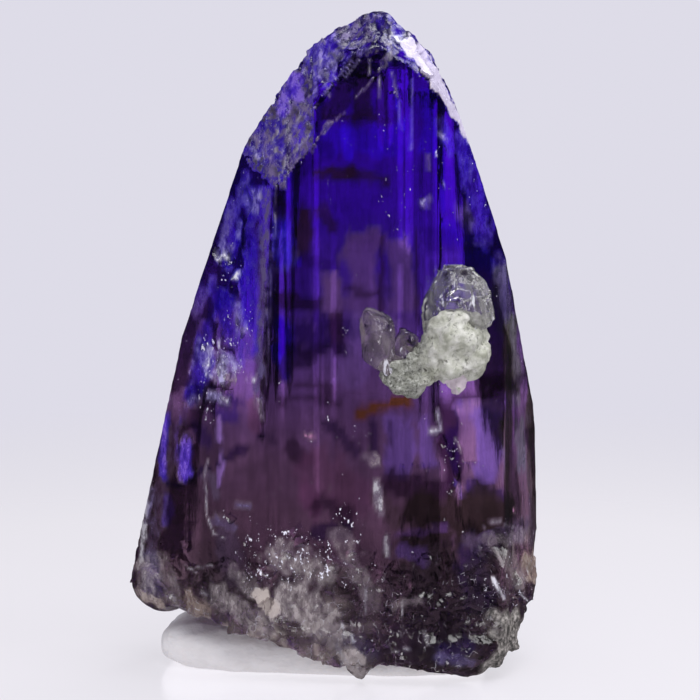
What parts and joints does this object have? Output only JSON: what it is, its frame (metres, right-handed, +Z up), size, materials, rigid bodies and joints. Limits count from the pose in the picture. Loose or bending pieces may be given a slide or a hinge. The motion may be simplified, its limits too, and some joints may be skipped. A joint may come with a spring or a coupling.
{
  "type": "rough tanzanite crystal",
  "caption": "Bullet-shaped rough violet-blue crystal with ribbed faces, a stepped frosted tip, a small side cluster and a broken brownish base on a white putty pad.",
  "frame": {"origin": "middle of the whole object's footprint, on the surface it stands on", "axes": "+Z up along the crystal, -Y the way its broad front face with the small cluster looks, +X to the right seen from the front"},
  "size_m": [0.023, 0.0164, 0.0355],
  "materials": {
    "tanzanite": "clear to cloudy natural crystal, glossy ribbed faces, frosted tip and rough base",
    "pale_cluster": "clear stubby crystals on chalky, sugary pale lumps",
    "putty": "soft matte white mounting putty"
  },
  "bodies": {
    "root": {"tanzanite_crystal": "tanzanite", "side_cluster": "pale_cluster", "putty_pad": "putty"}
  },
  "joints": []
}
